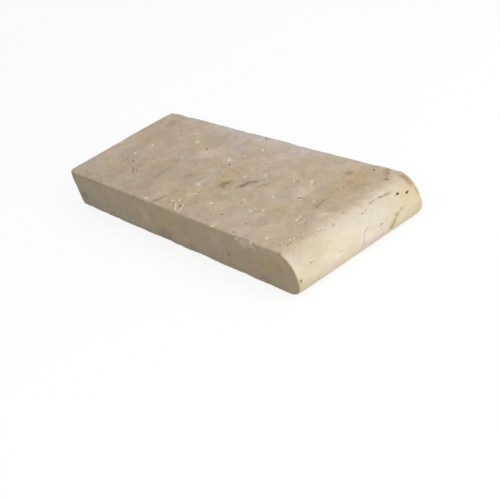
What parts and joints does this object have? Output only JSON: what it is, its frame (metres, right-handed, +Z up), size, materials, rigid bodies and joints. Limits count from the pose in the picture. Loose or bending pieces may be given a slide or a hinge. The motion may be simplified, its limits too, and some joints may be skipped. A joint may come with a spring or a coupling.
{
  "type": "pool coping stone",
  "caption": "Rectangular slab of tumbled travertine with a full round nose on a short end, laid side by side with its like on a pool wall to finish the water's edge.",
  "frame": {"origin": "middle of the sawn bed, on the floor that the stone lies on", "axes": "+X along the length, towards the round nose and the water; +Y across the width, towards the far long side in the picture; +Z up, out of the walking face"},
  "size_m": [0.305, 0.102, 0.031],
  "materials": {
    "travertine": "tumbled and unfilled, matt"
  },
  "bodies": {
    "root": {"coping_stone": "travertine"}
  },
  "joints": []
}
